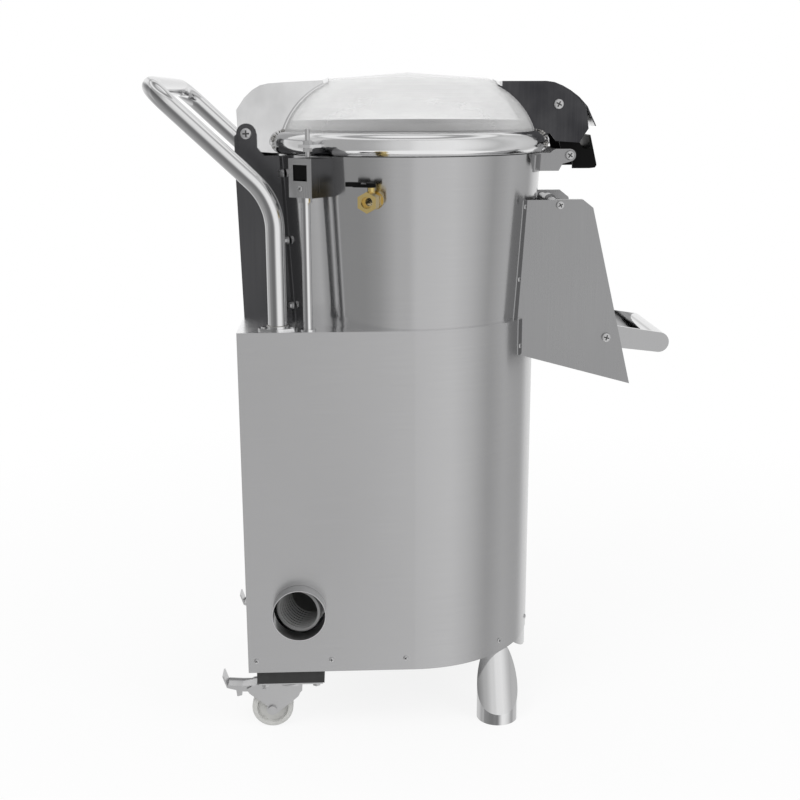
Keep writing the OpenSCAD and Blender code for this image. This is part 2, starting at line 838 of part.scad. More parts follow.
// V-belt pulley on Z about the belt's middle height, with one groove
module grooved(r, h) {
    side = [[r - 8, 5.4], [r, 6.5], [r, h / 2], [0, h / 2]];
    polygon(concat([for (i = [len(side) - 1 : -1 : 0]) [side[i][0], -side[i][1]]], side));
}

module motor_pulley() color(dark_steel) place() translate([motor_x, motor_y, belt_z]) {
    rotate_extrude() grooved(motor_pulley_r, 24);
    translate([0, 0, plate_top - belt_z - 40]) cylinder(h = belt_z - plate_top + 58, r = motor_shaft_r);
}

module driven_pulley() color(dark_steel) place() translate([0, 0, belt_z]) difference() {
    rotate_extrude() grooved(driven_r, 18);
    for (s = [-1, 1]) translate([0, 0, s * 8 - 4]) ring(shaft_r + 14, driven_r - 14, -1, 9);
    for (i = [0 : 4]) rotate(i * 72) translate([(driven_r + shaft_r) / 2, 0, -20]) cylinder(h = 40, r = 16);
    translate([0, 0, -20]) cylinder(h = 40, r = shaft_r);
}

module drive_belt() color(black) place() translate([0, 0, belt_z - 5]) linear_extrude(10) difference() {
    link([0, 0], driven_r + 1, [motor_x, motor_y], motor_pulley_r + 1);
    link([0, 0], driven_r - belt_depth, [motor_x, motor_y], motor_pulley_r - belt_depth);
}

module disc_shaft() color("silver") place() {
    translate([0, 0, belt_z - 20]) cylinder(h = disc_z - belt_z + 20, r = shaft_r);
    translate([0, 0, disc_z]) cylinder(h = 22, r = stud_r);
}

module peeling_disc() color("dimgray") place() difference() {
    union() {
        translate([0, 0, disc_under]) cylinder(h = disc_z - disc_under - 3, r = disc_r);
        translate([0, 0, disc_z - 3]) cylinder(h = 3, r1 = disc_r, r2 = disc_r - 3);
        translate([0, 0, basin_z + 6]) cylinder(h = disc_under - basin_z, r = disc_hub_r);
        translate([0, 0, disc_z]) cylinder(h = 8, r1 = 34, r2 = 28);
        intersection() {
            translate([0, 0, disc_under]) cylinder(h = 60, r1 = disc_r, r2 = disc_r - 8);
            union() for (i = [0 : disc_waves - 1]) rotate(i * 360 / disc_waves)
                translate([22, 0, disc_z - 58]) rotate([0, 90, 0]) cylinder(h = far, r = 70);
        }
        for (i = [0 : 2]) rotate(60 + i * 120) translate([disc_hub_r - 3, -2, disc_under - 24])
            cube([disc_r - disc_hub_r - 8, 4, 26]);
        translate([0, 0, disc_z + 8]) cylinder(h = 8, r = 17);
        translate([0, 0, disc_z + 14]) sphere(15);
    }
    cylinder(h = disc_z, r = shaft_r);
    cylinder(h = disc_z + 22, r = stud_r);
}

module tower() color(dark_steel) place() difference() {
    ear = [hinge_y, hinge_z];
    tower_bend = [tower_rear + 7, deck_z + 270];
    union() {
        for (x = [-tower_half, tower_half - tower_t]) side_plate(x, x + tower_t) difference() {
            union() {
                polygon([
                    [190, deck_z], [tower_rear, deck_z], tower_bend, ear + [ear_r + 4.5, -4],
                    ear + [ear_r, 0], ear - [ear_r + 2, 0], ear - [ear_r + 2, 24],
                    [hinge_y - ear_r - 14, rim_z - 3], [190, rim_z - 3]
                ]);
                translate(ear) circle(ear_r + 1);
            }
            translate(ear) circle(hinge_pin_r);
        }
        side_plate(-tower_half, tower_half) polygon([
            [tower_rear - tower_t, deck_z], [tower_rear, deck_z], tower_bend, tower_bend - [tower_t, 0]
        ]);
        intersection() {
            drum_strip(tower_t);
            both_sides() translate([tower_half - tower_t, 0, deck_z])
                cube([tower_flange_w, far, rim_z - deck_z - 3]);
        }
    }
    drum_solid(0);
}

module tower_bolts() color(steel) place() both_sides() for (z = tower_bolt_zs)
    on_drum(bolt_turn, z, tower_t) {
        translate([0, 0, 0.5]) cylinder(h = 2, r = 7.5);
        translate([0, 0, 2.5]) hex_head(10, 5);
    }

module lid_hinge_pin() color(steel) place() {
    x_rod(-tower_half - 4, tower_half + 4, [hinge_y, hinge_z], hinge_pin_r);
    both_sides() x_rod(tower_half, tower_half + 4, [hinge_y, hinge_z], hinge_pin_r + 3.5);
}

module lid_ring() color(steel) place() {
    difference() {
        ring_solid(0);
        ring_solid(-ring_wall);
        ring(ring_r - 4, ring_r + 4, ring_z - far / 10, ring_z);
    }
    rotate([0, 0, 180 - switch_turn]) difference() {
        translate([ring_r, -13, ring_z - 4]) cube([ring_tube_r + 27, 26, 5]);
        ring_solid(-0.7);
        translate([switch_mid, 0, ring_z - 20]) cylinder(h = 40, r = actuator_r);
    }
}

module dome() color([0.85, 0.9, 0.92, 0.5]) place() {
    difference() {
        dome_solid(0);
        dome_solid(-dome_t);
        cylinder(h = ring_top, r = far);
    }
    ring(ring_r - 18, ring_r - 4, ring_top, ring_top + 3.5);
}

module dome_seat_ring() color(dark_steel) place() difference() {
    ring(ring_r - 17, ring_r - 15.5, ring_z, ring_top + 15);
    ring_solid(0);
    translate([0, 0, ring_top]) ring(ring_r - 18.1, ring_r - 3.9, -0.01, 3.51);
}

// Saddle strip of a hood along the dome and the ring; way is +1 at the rear and -1 in front
module saddle(half, way, near_y) {
    intersection() {
        difference() {
            union() {
                dome_solid(hood_t);
                ring_solid(hood_t);
            }
            dome_solid(0);
            ring_solid(0);
        }
        difference() {
            translate([-half - saddle_w, way > 0 ? near_y - saddle_w : -far, ring_z - 4])
                cube([2 * (half + saddle_w), far - near_y + saddle_w, far]);
            translate([-half + hood_t, way > 0 ? near_y + hood_t : -far - near_y - hood_t, 0])
                cube([2 * (half - hood_t), far, 2 * far]);
        }
    }
}

module rear_hood() color(steel) place() {
    hinge = [hinge_y, hinge_z];
    outer = [for (p = [[-44, -33], [-18, -31], [4, -16], [15, 8], [16, 40], [2, 60], [-12, 73], [-26, 81],
        [-40, 84], [-68, 86], [-109, 88], [-134, 89], [-134, -33]]) hinge + p];
    barrel_r = hinge_pin_r + 4;
    difference() {
        union() {
            difference() {
                side_plate(-rear_hood_half, rear_hood_half) polygon(outer);
                side_plate(hood_t - rear_hood_half, rear_hood_half - hood_t) polygon(inset(outer, hood_t));
            }
            x_rod(-rear_hood_half, rear_hood_half, hinge, barrel_r);
        }
        dome_solid(0);
        ring_solid(0);
        x_rod(-far, far, hinge, hinge_pin_r + run_fit);
    }
    saddle(rear_hood_half, 1, hinge_y - 134);
}

module front_hood() color(steel) place() {
    pivot = [-latch_y, latch_z];
    skin = [for (p = [[99, -12], [99, 39], [22, 39], [8, 37], [-7, 31], [-21, 23], [-36, 12], [-51, -4],
        [-67, -37]]) pivot + p];
    under = [for (i = [len(skin) - 1 : -1 : 0]) skin[i] + hood_t * under_way(skin, i)];
    cheek = [for (p = [[99, -52], [99, 37], [22, 37], [8.5, 35], [-6, 29.2], [-20, 21], [-34.5, 10],
        [-49, -6], [-54, -42], [-38, -66], [3, -63], [14, -50]]) pivot + p];
    difference() {
        union() {
            side_plate(-front_hood_half, front_hood_half) polygon(concat(skin, under));
            both_sides() side_plate(front_hood_half - hood_t, front_hood_half) polygon(cheek);
        }
        dome_solid(0);
        ring_solid(0);
        x_rod(-far, far, pivot, latch_pin_r);
    }
    saddle(front_hood_half, -1, latch_y - 99);
}

// Unit mitre direction below the corner i of an open outline that runs towards -Y
function under_way(p, i) =
    let (
        a = i > 0 ? p[i] - p[i - 1] : p[1] - p[0],
        b = i < len(p) - 1 ? p[i + 1] - p[i] : a,
        na = [-a[1], a[0]] / norm(a),
        nb = [-b[1], b[0]] / norm(b)
    )
    (na + nb) / (1 + na * nb);

module latch_pin() color(steel) place() {
    x_rod(-front_hood_half - 1, front_hood_half + 1, [-latch_y, latch_z], latch_pin_r);
    both_sides() x_rod(front_hood_half, front_hood_half + 3, [-latch_y, latch_z], latch_pin_r + 3.5);
}

module latch_handle() color(black) place() {
    web = 4;
    hook_tip = catch_pin_r + 2 * gap;
    hook_deep = catch_pin_r + 7;
    hook_under = catch_pin_r + 2;
    pivot = [-latch_y, latch_z];
    catch = [-catch_y, catch_z];
    difference() {
        union() {
            for (x = [-latch_half, latch_half - web]) side_plate(x, x + web) {
                translate(pivot) circle(10);
                polygon([pivot + [-10, 0], pivot + [-27, -44], catch + [-24, 12], catch + [-43, 9],
                    catch + [-48, -18], catch + [-46, -22], catch + [-36, -23], catch + [8, -23],
                    catch + [17, 17], pivot + [9, -2]]);
            }
            side_plate(-latch_half, latch_half) polygon([catch + [-36.5, 35], catch + [-34, 33.5],
                catch + [-43, -14], catch + [-43, -19], catch + [-36, -20.5], catch + [-36, -23],
                catch + [-46, -22], catch + [-49, -18], catch + [-48.5, -14]]);
            x_rod(-latch_half, latch_half, pivot, 8);
        }
        x_rod(-far, far, pivot, latch_pin_r + run_fit);
        side_plate(-far, far) polygon([
            catch + [-hook_deep, 8], catch + [-hook_deep, -hook_under], catch + [-hook_tip, -hook_under],
            catch + [-hook_tip, -34], catch + [far, -34], catch + [far, 8]
        ]);
    }
}

module catch_bracket() color(steel) place() difference() {
    catch = [-catch_y, catch_z];
    foot_z = catch_z - 27;
    union() {
        both_sides() side_plate(catch_half, catch_half + catch_t) {
            link(catch, 11, catch + [22, -3], 14);
            polygon([catch + [83, -27], catch + [19, -27], catch + [9, -8], catch + [8, 8],
                [catch[0] + 21, rim_z - 1], [catch[0] + 83, rim_z - 1]]);
        }
        intersection() {
            drum_strip(catch_t);
            both_sides() translate([catch_half, -far, foot_z]) cube([42, far, 29]);
        }
    }
    drum_solid(0);
    x_rod(-far, far, catch, catch_pin_r);
    ring_solid(2);
}

module catch_pin() color(steel) place() {
    x_rod(-catch_half - catch_t, catch_half + catch_t, [-catch_y, catch_z], catch_pin_r);
    both_sides() x_rod(catch_half + catch_t, catch_half + catch_t + 3, [-catch_y, catch_z], catch_pin_r + 3);
}

// Frame of the lid's switch, its X pointing out of the drum
module switch_frame() {
    place() rotate([0, 0, 180 - switch_turn]) children();
}

module switch_box() color(dark_steel) switch_frame() difference() {
    x1 = drum_at(switch_top_z) + switch_d;
    w = switch_w / 2;
    bottom = switch_top_z - switch_h;
    translate([drum_r, -w, bottom]) cube([x1 - drum_r, switch_w, switch_h]);
    translate([drum_r - 1, sheet - w, bottom + sheet])
        cube([x1 - drum_r - sheet + 1, switch_w - 2 * sheet, switch_h - 2 * sheet]);
    translate([x1 - 10, -w + 10, switch_top_z - 36]) cube([20, 2 * w - 20, 26]);
    translate([switch_mid, 0, switch_top_z - 5]) cylinder(h = 10, r = 5);
    drum_solid(0);
}

module microswitch() color(black) switch_frame() {
    x1 = drum_at(switch_top_z) + switch_d - sheet;
    translate([x1 - 32, -14, switch_top_z - 34]) cube([32, 28, 28]);
    translate([switch_mid, 0, switch_top_z - 8]) cylinder(h = 8, r = 4);
}

module actuator_bolt() color(steel) switch_frame() translate([switch_mid, 0, 0]) {
    translate([0, 0, switch_top_z + 2]) cylinder(h = ring_z + 24 - switch_top_z, r = actuator_r);
    for (z = [ring_z + 1, ring_z - 10.5]) translate([0, 0, z]) hex_head(13, 6.5);
}

module conduit_post() color(steel) switch_frame() {
    at = drum_at(switch_top_z) + switch_d - 12;
    post_l = switch_top_z - switch_h - deck_z;
    translate([at, 0, deck_z]) {
        ring(post_r - 1.5, post_r, 0, post_l);
        ring(post_r, post_r + 5, 0, 3);
        ring(post_r, post_r + 3, post_l - 8, post_l);
    }
}

// The handle tube's wall, thicker by the distance d on both faces
module tube_ring(d) {
    difference() {
        circle(handle_tube_r + d);
        circle(handle_tube_r - handle_wall - d);
    }
}

module push_handle() color(steel) place() {
    span = 2 * handle_half;
    slope = norm([handle_end_y - handle_foot_y, handle_end_z - handle_bend_z]);
    foot_l = handle_bend_z - handle_cut - deck_z - foot_t;
    frame_at([-handle_half, handle_end_y, handle_end_z], [1, 0, 0], handle_way) {
        for (x = [0, span]) translate([x, 0, 0]) {
            translate([0, handle_cut - slope, 0]) rotate([-90, 0, 0])
                linear_extrude(slope - handle_cut - handle_corner_r) tube_ring(0);
            translate([0, handle_cut - slope, -handle_bend_r]) rotate([0, -90, 0]) {
                rotate([0, 0, -handle_lean - bend_lap]) rotate_extrude(angle = handle_lean + 2 * bend_lap)
                    translate([handle_bend_r, 0]) tube_ring(bend_swell);
                rotate([0, 0, -handle_lean]) translate([handle_bend_r, 0, 0]) rotate([90, 0, 0])
                    linear_extrude(foot_l) tube_ring(0);
            }
        }
        translate([handle_corner_r, -handle_corner_r, 0]) rotate([0, 0, 90])
            rotate_extrude(angle = 90) translate([handle_corner_r, 0]) tube_ring(0);
        translate([span - handle_corner_r, -handle_corner_r, 0])
            rotate_extrude(angle = 90) translate([handle_corner_r, 0]) tube_ring(0);
        translate([handle_corner_r, 0, 0]) rotate([0, 90, 0])
            linear_extrude(span - 2 * handle_corner_r) tube_ring(0);
    }
}

module handle_feet() color(steel) place() difference() {
    both_sides() translate([handle_half, handle_foot_y, deck_z]) {
        linear_extrude(foot_t) {
            link([0, -foot_screw_gap], 9, [0, 0], 21);
            link([0, foot_screw_gap], 9, [0, 0], 21);
        }
        ring(handle_tube_r, handle_tube_r + foot_collar, 0, foot_t + 4);
    }
    handle_screw_places() translate([0, 0, -20]) cylinder(h = 40, r = screw_shank_r);
}

// Frame of the inlet valve, its Z along the water's way out of the drum
module valve_frame() {
    place() on_drum(valve_turn, valve_z, 0) children();
}

// Hexagon bar along Z with a round hole
module hex_tube(across, hole_r, z0, z1) {
    translate([0, 0, z0]) linear_extrude(z1 - z0) difference() {
        circle(across / 2 / cos(30), $fn = 6);
        circle(hole_r);
    }
}

module inlet_valve() color("goldenrod") valve_frame() {
    way_r = 6.5;
    flange_r = 15;
    union_z = valve_reach - 22;
    inlet_z = valve_reach - inlet_depth;
    ring(way_r, flange_r, gap / 3 + flange_r * drum_slope, 6);
    hex_tube(25, way_r, 6, 20);
    ring(way_r, 12, 20, union_z);
    hex_tube(30, way_r, union_z, inlet_z);
    hex_tube(30, inlet_r, inlet_z, valve_reach);
    translate([-spindle_top, 0, spindle_at]) rotate([0, 90, 0]) cylinder(h = 13, r = 6);
}

module valve_lever() color(black) valve_frame()
    translate([-spindle_top - gap, 0, spindle_at]) rotate([0, -90, 0]) {
    cylinder(h = 7, r = 8);
    linear_extrude(5) link([0, 0], 7, [0, -26], 5);
    translate([0, 0, 1]) linear_extrude(7) link([0, -22], 5, [0, -36], 7);
}

// Keeps only what lies outside the drum and, below the deck, outside the casing
module drum_and_casing() {
    drum_solid(0);
    translate([0, 0, deck_z - 200]) cylinder(h = 200, r = casing_r);
}

module chute() color(steel) place() {
    low = [-213, 672];
    cheek = [[-150, chute_top_z], [-298, chute_top_z], [-316, chute_top_z - 14], [-chute_tip_y, chute_tip_z],
        low, [-150, 690]];
    floor_way = ([-chute_tip_y, chute_tip_z] - low) / norm([-chute_tip_y, chute_tip_z] - low);
    floor_up = [floor_way[1], -floor_way[0]];
    difference() {
        union() {
            both_sides() side_plate(chute_half - sheet, chute_half) difference() {
                polygon(cheek);
                translate([-door_y, door_z]) circle(door_pin_r);
                translate([-lever_y, lever_z]) circle(lever_pin_r);
            }
            both_sides() side_plate(chute_half - 14, chute_half) polygon([
                [-240, chute_top_z - sheet], [-240, chute_top_z], [-298, chute_top_z],
                [-298, chute_top_z - sheet]
            ]);
            side_plate(-chute_half, chute_half) polygon([
                low - 40 * floor_way, low + 183 * floor_way, low + 183 * floor_way + sheet * floor_up,
                low - 40 * floor_way + sheet * floor_up
            ]);
        }
        drum_and_casing();
    }
    difference() {
        both_sides() chute_flanges();
        chute_screw_places() translate([0, 0, -far / 50]) cylinder(h = far / 10, r = screw_shank_r);
    }
}

// The right side's flanges on the drum and on the casing
module chute_flanges() {
    intersection() {
        drum_strip(sheet);
        translate([chute_half - sheet, -far, deck_z]) cube([chute_flange + sheet, far, chute_top_z - deck_z]);
    }
    intersection() {
        ring(casing_r, casing_r + sheet, flange_foot_z, deck_z);
        translate([chute_half - sheet, -far, 0]) cube([chute_flange + sheet, far, far]);
    }
}

module chute_pins() color(dark_steel) place() {
    hinge = [-door_y, door_z];
    pivot = [-lever_y, lever_z];
    x_rod(-chute_half - 2, chute_half + 2, hinge, door_pin_r);
    both_sides() {
        x_rod(chute_half, chute_half + 3, hinge, door_pin_r + 3);
        x_rod(lever_half - 6, chute_half + 2, pivot, lever_pin_r);
        x_rod(chute_half, chute_half + 3, pivot, 8);
    }
}

module chute_door() color(steel) place() {
    hinge = [-door_y, door_z];
    skin = 2;
    shelf_z = door_z - 8;
    difference() {
        union() {
            difference() {
                union() {
                    intersection() {
                        translate([0, 0, port_sill_z - 6])
                            cylinder(h = shelf_z - port_sill_z + 6, r = door_face_r + skin);
                        x_rod(-far, far, hinge, cheek_reach);
                    }
                    both_sides() side_plate(door_half - skin, door_half) intersection() {
                        union() {
                            polygon([hinge + [0, -5], [-200, shelf_z], [-200, port_sill_z - 4],
                                [-360, port_sill_z + 19.5], hinge + [-9, 0]]);
                            translate(hinge) circle(9);
                        }
                        translate(hinge) circle(cheek_reach);
                    }
                    translate([-door_half, hinge[0], shelf_z - skin]) cube([2 * door_half, far / 10, skin]);
                }
                translate([0, 0, port_sill_z - 20]) cylinder(h = 400, r = door_face_r);
                translate([-far, hinge[0] + 70, 0]) cube(2 * far);
                both_sides() translate([door_half, -far, 0]) cube([far, 2 * far, shelf_z]);
            }
            intersection() {
                ring(drum_r + 3, door_face_r + skin / 2, port_sill_z + 4, port_top_z - 4);
                translate([5 - port_half_w, -far, 0]) cube([2 * port_half_w - 10, far, far]);
            }
            translate([-door_half, hinge[0] - 1, shelf_z - skin]) cube([2 * door_half, 3, 5]);
            x_rod(-door_half, door_half, hinge, 7);
            x_rod(-14, 14, hinge, 11);
        }
        x_rod(-far, far, hinge, door_pin_r + run_fit);
    }
}

module lock_lever() color("gainsboro") place() {
    pivot = [-lever_y, lever_z];
    grip = pivot - lever_reach * [cos(8), sin(8)];
    nose = pivot + 22 * [-sin(69.2), cos(69.2)];
    nose_r = 5;
    arm_t = 5.5;
    both_sides() {
        side_plate(lever_half - arm_t, lever_half) difference() {
            link(pivot, 20, grip, grip_r);
            translate(pivot) circle(lever_pin_r + run_fit);
            translate(nose) circle(nose_r + run_fit);
        }
        x_rod(door_half - 6, lever_half + 3, nose, nose_r);
    }
    translate([arm_t - lever_half, grip[0], grip[1]]) rotate([0, 90, 0])
        linear_extrude(2 * (lever_half - arm_t)) difference() {
            circle(grip_r);
            circle(grip_r - 2);
        }
}

// A push button on the right wall at the height z, its bezel's guide carrying it
module push_button(z) {
    place() {
        x_rod(button_x - 14, button_x + 5 + button_travel, [button_y, z], button_r);
        x_rod(button_x - 20, button_x - 14, [button_y, z], button_r + 2);
    }
}

module start_button() color("green") push_button(start_z);

module stop_button() color("red") push_button(start_z - button_gap);

module button_bezels() color(dark_steel) place() for (z = [start_z, start_z - button_gap]) difference() {
    union() {
        x_rod(button_x - 10, button_x + 2, [button_y, z], button_r + 3);
        x_rod(button_x, button_x + 4, [button_y, z], button_r + 6);
        x_rod(button_x - 5, button_x - sheet, [button_y, z], button_r + 7);
    }
    x_rod(0, far, [button_y, z], button_r + run_fit);
}

module cable_gland() color(black) place()
    translate([gland_x, casing_rear, gland_z]) rotate([-90, 0, 0]) difference() {
    union() {
        translate([0, 0, -10]) cylinder(h = 12, r = gland_bore_r + 4);
        translate([0, 0, -sheet - 5]) hex_head(24, 5);
        hex_head(24, 8);
        translate([0, 0, 8]) cylinder(h = gland_l - 21, r = gland_bore_r + 5.5);
        translate([0, 0, gland_l - 13]) cylinder(h = 3, r1 = gland_bore_r + 5.5, r2 = gland_bore_r + 3);
    }
    translate([0, 0, -20]) cylinder(h = far, r = gland_bore_r);
}

casing();
base_pan();
panel_screws();
leg_left();
leg_right();
leg_covers();
castor_pads();
castor_plates();
castor_bolts();
castor_fork_left();
castor_fork_right();
castor_wheel_left();
castor_wheel_right();
brake_pedal_left();
brake_pedal_right();
drum();
drum_liner();
basin();
drain_stub();
drain_hose();
hose_clamps();
bearing_housing();
bearings();
shaft_seal();
drive_plate();
plate_posts();
motor();
motor_pulley();
drive_belt();
driven_pulley();
disc_shaft();
peeling_disc();
tower();
tower_bolts();
lid_hinge_pin();
lid_ring();
dome();
dome_seat_ring();
rear_hood();
front_hood();
latch_pin();
latch_handle();
catch_bracket();
catch_pin();
switch_box();
microswitch();
actuator_bolt();
conduit_post();
push_handle();
handle_feet();
inlet_valve();
valve_lever();
chute();
chute_pins();
chute_door();
lock_lever();
start_button();
stop_button();
button_bezels();
cable_gland();
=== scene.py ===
"""An electric potato peeler: stainless drum on a D-shaped casing, clear lid, push handle and castors."""

import math

import bmesh
import bpy
import numpy as np
from mathutils import Matrix, Vector


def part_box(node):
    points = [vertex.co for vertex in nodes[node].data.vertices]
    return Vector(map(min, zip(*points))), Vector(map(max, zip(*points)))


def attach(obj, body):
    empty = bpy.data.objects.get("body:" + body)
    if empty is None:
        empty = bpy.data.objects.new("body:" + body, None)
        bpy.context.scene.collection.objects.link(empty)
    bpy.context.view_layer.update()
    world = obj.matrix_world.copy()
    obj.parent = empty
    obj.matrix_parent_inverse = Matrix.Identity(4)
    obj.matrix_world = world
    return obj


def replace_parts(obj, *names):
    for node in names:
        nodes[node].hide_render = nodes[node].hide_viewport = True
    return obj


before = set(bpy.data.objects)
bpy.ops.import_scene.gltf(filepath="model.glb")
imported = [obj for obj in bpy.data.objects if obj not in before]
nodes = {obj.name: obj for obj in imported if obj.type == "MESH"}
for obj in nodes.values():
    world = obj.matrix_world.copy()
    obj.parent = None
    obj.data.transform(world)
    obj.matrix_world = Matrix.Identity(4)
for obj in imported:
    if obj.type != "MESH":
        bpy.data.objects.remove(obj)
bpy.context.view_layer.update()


# ---------------------------------------------------------------- Camera
# A long lens at about the lid's height, looking down at the machine's left side. The drum's axis stands a
# little off the middle of the whole machine, and every round piece of the drum and the lid is centred on it.
drum_axis = Vector((0.01457, 0.012, 0.0))
eye = Vector((-2.2054, 0.121, 1.1229))
look_down, look_right, lean = math.radians(14.05), math.radians(2.40), math.radians(-0.19)
lens, sensor = 54.3, 36.0

camera_data = bpy.data.cameras.new("camera")
camera_data.lens, camera_data.sensor_width = lens, sensor
camera = bpy.data.objects.new("camera", camera_data)
bpy.context.scene.collection.objects.link(camera)
turn = Matrix.Rotation(math.radians(-90) - look_right, 4, "Z")
tilt = Matrix.Rotation(math.radians(90) - look_down, 4, "X")
camera.matrix_world = Matrix.Translation(eye) @ turn @ tilt @ Matrix.Rotation(lean, 4, "Z")
bpy.context.scene.camera = camera
bpy.context.scene.view_settings.view_transform = "Standard"


# ---------------------------------------------------------------- Studio
# A white floor that runs out of sight, a ring of matt grey and white cards that only the shiny parts see,
# and two soft lamps. None of it is part of the machine.
class Wire:
    """One socket of a shader. Arithmetic on it adds Math nodes."""

    def __init__(self, shader, socket):
        self.shader = shader
        self.socket = socket

    def math(self, operation, other=None, flipped=False):
        pair = [self] if other is None else [self, other]
        if flipped:
            pair.reverse()
        return self.shader.add("ShaderNodeMath", {"operation": operation}, dict(enumerate(pair)))

    def __add__(self, other):
        return self.math("ADD", other)

    def __sub__(self, other):
        return self.math("SUBTRACT", other)

    def __rsub__(self, other):
        return self.math("SUBTRACT", other, flipped=True)

    def __mul__(self, other):
        return self.math("MULTIPLY", other)

    __radd__ = __add__
    __rmul__ = __mul__


class Shader:
    """A node tree that is filled by one method."""

    def __init__(self, tree):
        self.tree = tree
        tree.nodes.clear()

    def add(self, kind, settings=None, inputs=None, output=0):
        node = self.tree.nodes.new(kind)
        for name, value in (settings or {}).items():
            if name == "stops":
                self.set_stops(node.color_ramp, value)
            else:
                setattr(node, name, value)
        for name, value in (inputs or {}).items():
            if isinstance(value, Wire):
                self.tree.links.new(value.socket, node.inputs[name])
            else:
                node.inputs[name].default_value = value
        return Wire(self, node.outputs[output]) if node.outputs else None

    def set_stops(self, ramp, stops):
        while len(ramp.elements) < len(stops):
            ramp.elements.new(0.5)
        for element, (place, level) in zip(ramp.elements, stops):
            element.position = place
            element.color = (level, level, level, 1.0)

    def place(self):
        """Where a point lies on the piece, in metres."""
        return self.add("ShaderNodeTexCoord", output="Object")

    def faces(self):
        """Which way the surface faces, on the piece's own axes."""
        return self.add("ShaderNodeTexCoord", output="Normal")

    def axes(self, vector):
        return [self.add("ShaderNodeSeparateXYZ", None, {0: vector}, output=i) for i in range(3)]

    def noise(self, stretch, detail=2.0, roughness=0.5):
        """Noise from 0 to 1, with so many waves to the metre along X, Y and Z."""
        sockets = {"Vector": self.place(), "Scale": stretch}
        spread = self.add("ShaderNodeMapping", {"vector_type": "POINT"}, sockets)
        found = {"Vector": spread, "Scale": 1.0, "Detail": detail, "Roughness": roughness}
        return self.add("ShaderNodeTexNoise", None, found)

    def shade(self, wire, stops):
        """A grey from a value between 0 and 1."""
        return self.add("ShaderNodeValToRGB", {"stops": stops}, {"Fac": wire})

    def glossy_or_camera(self):
        """1 for what the camera, the metal and the glass see, and 0 for what lights the object."""
        rays = ("Is Camera Ray", "Is Glossy Ray", "Is Transmission Ray")
        camera_ray, glossy_ray, clear_ray = [self.add("ShaderNodeLightPath", output=ray) for ray in rays]
        return (camera_ray + glossy_ray + clear_ray).math("MINIMUM", 1.0)


def linked(name, mesh_data):
    piece = bpy.data.objects.new(name, mesh_data)
    bpy.context.scene.collection.objects.link(piece)
    return piece


def mesh_piece(name, bm, smooth_below=35.0):
    """A new object from a bmesh, smooth where its faces meet at less than that angle in degrees."""
    data = bpy.data.meshes.new(name)
    bm.to_mesh(data)
    bm.free()
    data.polygons.foreach_set("use_smooth", [True] * len(data.polygons))
    data.set_sharp_from_angle(angle=math.radians(smooth_below))
    return linked(name, data)


# The floor turns to pure white for the camera from its middle out to where it is wholly clean.
floor_half, floor_clean_at = 14.0, 2.0
floor_whites = ((0.0, 0.86), (0.35, 0.90), (1.0, 1.0))
bm = bmesh.new()
bmesh.ops.create_grid(bm, x_segments=1, y_segments=1, size=floor_half)
floor = mesh_piece("floor", bm)
floor_material = bpy.data.materials.new("white_floor")
floor_material.use_nodes = True
s = Shader(floor_material.node_tree)
lit = s.add("ShaderNodeBsdfDiffuse", None, {"Color": (0.86, 0.86, 0.86, 1.0)})
white = s.add("ShaderNodeEmission", None, {"Color": (1.0, 1.0, 1.0, 1.0), "Strength": 1.0})
away = s.add("ShaderNodeVectorMath", {"operation": "LENGTH"}, {0: s.place()}, output="Value")
clean = s.shade((away * (1 / floor_clean_at)).math("MINIMUM", 1.0), floor_whites)
mixed = s.add("ShaderNodeMixShader", None, {0: s.glossy_or_camera() * clean, 1: lit, 2: white})
s.add("ShaderNodeOutputMaterial", None, {"Surface": mixed})
floor.data.materials.append(floor_material)

# How light the cards are at each bearing, from straight behind the machine round by the chute's side,
# past the camera at the middle, and round by the push handle's side back to behind it.
card_radius, card_foot, card_height = 3.1, -2.4, 4.2
card_levels = ((0.0, 0.95), (0.12, 0.95), (0.16, 0.56), (0.24, 0.70), (0.295, 0.54), (0.35, 0.80),
               (0.40, 0.94), (0.49, 0.87), (0.505, 0.74), (0.535, 0.72), (0.58, 0.50), (0.615, 0.43),
               (0.715, 0.43), (0.74, 0.72), (0.78, 0.60), (0.86, 0.95))
card_segments = 96
bm = bmesh.new()
bmesh.ops.create_circle(bm, segments=card_segments, radius=card_radius)
bmesh.ops.translate(bm, verts=bm.verts, vec=(0, 0, card_foot))
rim = bmesh.ops.extrude_edge_only(bm, edges=bm.edges[:])
raised = [v for v in rim["geom"] if isinstance(v, bmesh.types.BMVert)]
bmesh.ops.translate(bm, verts=raised, vec=(0, 0, card_height - card_foot))
cards = mesh_piece("studio_cards", bm)
card_material = bpy.data.materials.new("studio_card")
card_material.use_nodes = True
s = Shader(card_material.node_tree)
along, across = s.axes(s.place())[:2]
bearing = across.math("ARCTAN2", -1.0 * along) * (1 / math.tau) + 0.5
glow = s.add("ShaderNodeEmission", None, {"Color": s.shade(bearing, card_levels), "Strength": 1.0})
s.add("ShaderNodeOutputMaterial", None, {"Surface": glow})
cards.data.materials.append(card_material)

